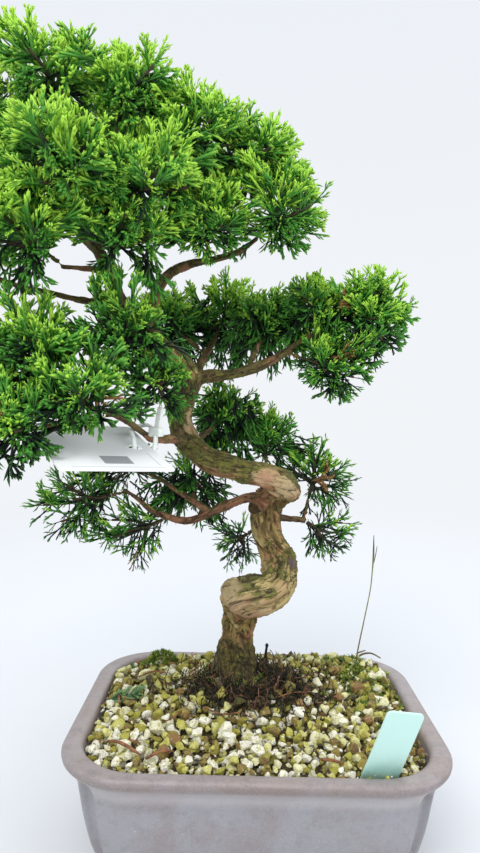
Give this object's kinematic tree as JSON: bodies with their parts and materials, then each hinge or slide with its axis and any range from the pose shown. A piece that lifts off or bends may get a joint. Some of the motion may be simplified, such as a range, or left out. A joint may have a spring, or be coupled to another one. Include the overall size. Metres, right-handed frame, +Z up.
{
  "type": "juniper bonsai in a pot",
  "caption": "Informal upright juniper bonsai with a winding trunk, layered pads of cord-like foliage and a soil-filled stoneware pot on small feet.",
  "frame": {"origin": "middle of the whole part's bounding box, on the plane that the pot's four feet stand on", "axes": "+Z up along the tree's height, -Y towards the tree's front, +X along the pot's long side"},
  "size_m": [0.2194, 0.154, 0.3014],
  "materials": {
    "stoneware": "unglazed satin, mauve brown with a grey haze",
    "drain_mesh": "matte",
    "granular_soil": "rough pumice, baked clay and algae",
    "bark": "flaking fibrous bark",
    "foliage": "waxy scale leaves, lighter at the tips",
    "tag_card": "smooth matte",
    "tie_plastic": "translucent white nylon",
    "marker_plastic": "satin mint green",
    "dry_grass": "dry straw",
    "blue_green_sprig": "waxy leaf"
  },
  "bodies": {
    "root": {"pot": "stoneware", "drain_mesh_left": "drain_mesh", "drain_mesh_right": "drain_mesh", "soil": "granular_soil", "wood": "bark", "tag": "tag_card", "tag_tie": "tie_plastic", "name_marker": "marker_plastic", "grass_stalk": "dry_grass", "fallen_sprig": "blue_green_sprig", "foliage_crown_top": "foliage", "foliage_crown_top_right": "foliage", "foliage_crown_right_high": "foliage", "foliage_crown_right_shoulder": "foliage", "foliage_crown_right": "foliage", "foliage_crown_middle": "foliage", "foliage_crown_front": "foliage", "foliage_crown_front_low": "foliage", "foliage_crown_middle_low": "foliage", "foliage_crown_right_low": "foliage", "foliage_crown_left_high": "foliage", "foliage_crown_left_low": "foliage", "foliage_crown_left_far": "foliage", "foliage_crown_back_high": "foliage", "foliage_crown_back_left": "foliage", "foliage_crown_back_right": "foliage", "foliage_crown_back": "foliage", "foliage_crown_back_low": "foliage", "foliage_front_left": "foliage", "foliage_front_middle": "foliage", "foliage_front_inner": "foliage", "foliage_front_tag": "foliage", "foliage_front_drooping": "foliage", "foliage_far_left": "foliage", "foliage_back_high": "foliage", "foliage_back_left": "foliage", "foliage_back_low": "foliage", "foliage_right_inner": "foliage", "foliage_right_tip": "foliage", "foliage_right_low": "foliage", "foliage_right_back": "foliage", "foliage_low_right_high": "foliage", "foliage_low_right_tip": "foliage", "foliage_low_right_low": "foliage", "foliage_low_left_tip": "foliage", "foliage_low_left_under": "foliage", "foliage_low_left_inner": "foliage", "foliage_low_left_back": "foliage", "foliage_low_hanging": "foliage"}
  },
  "joints": []
}
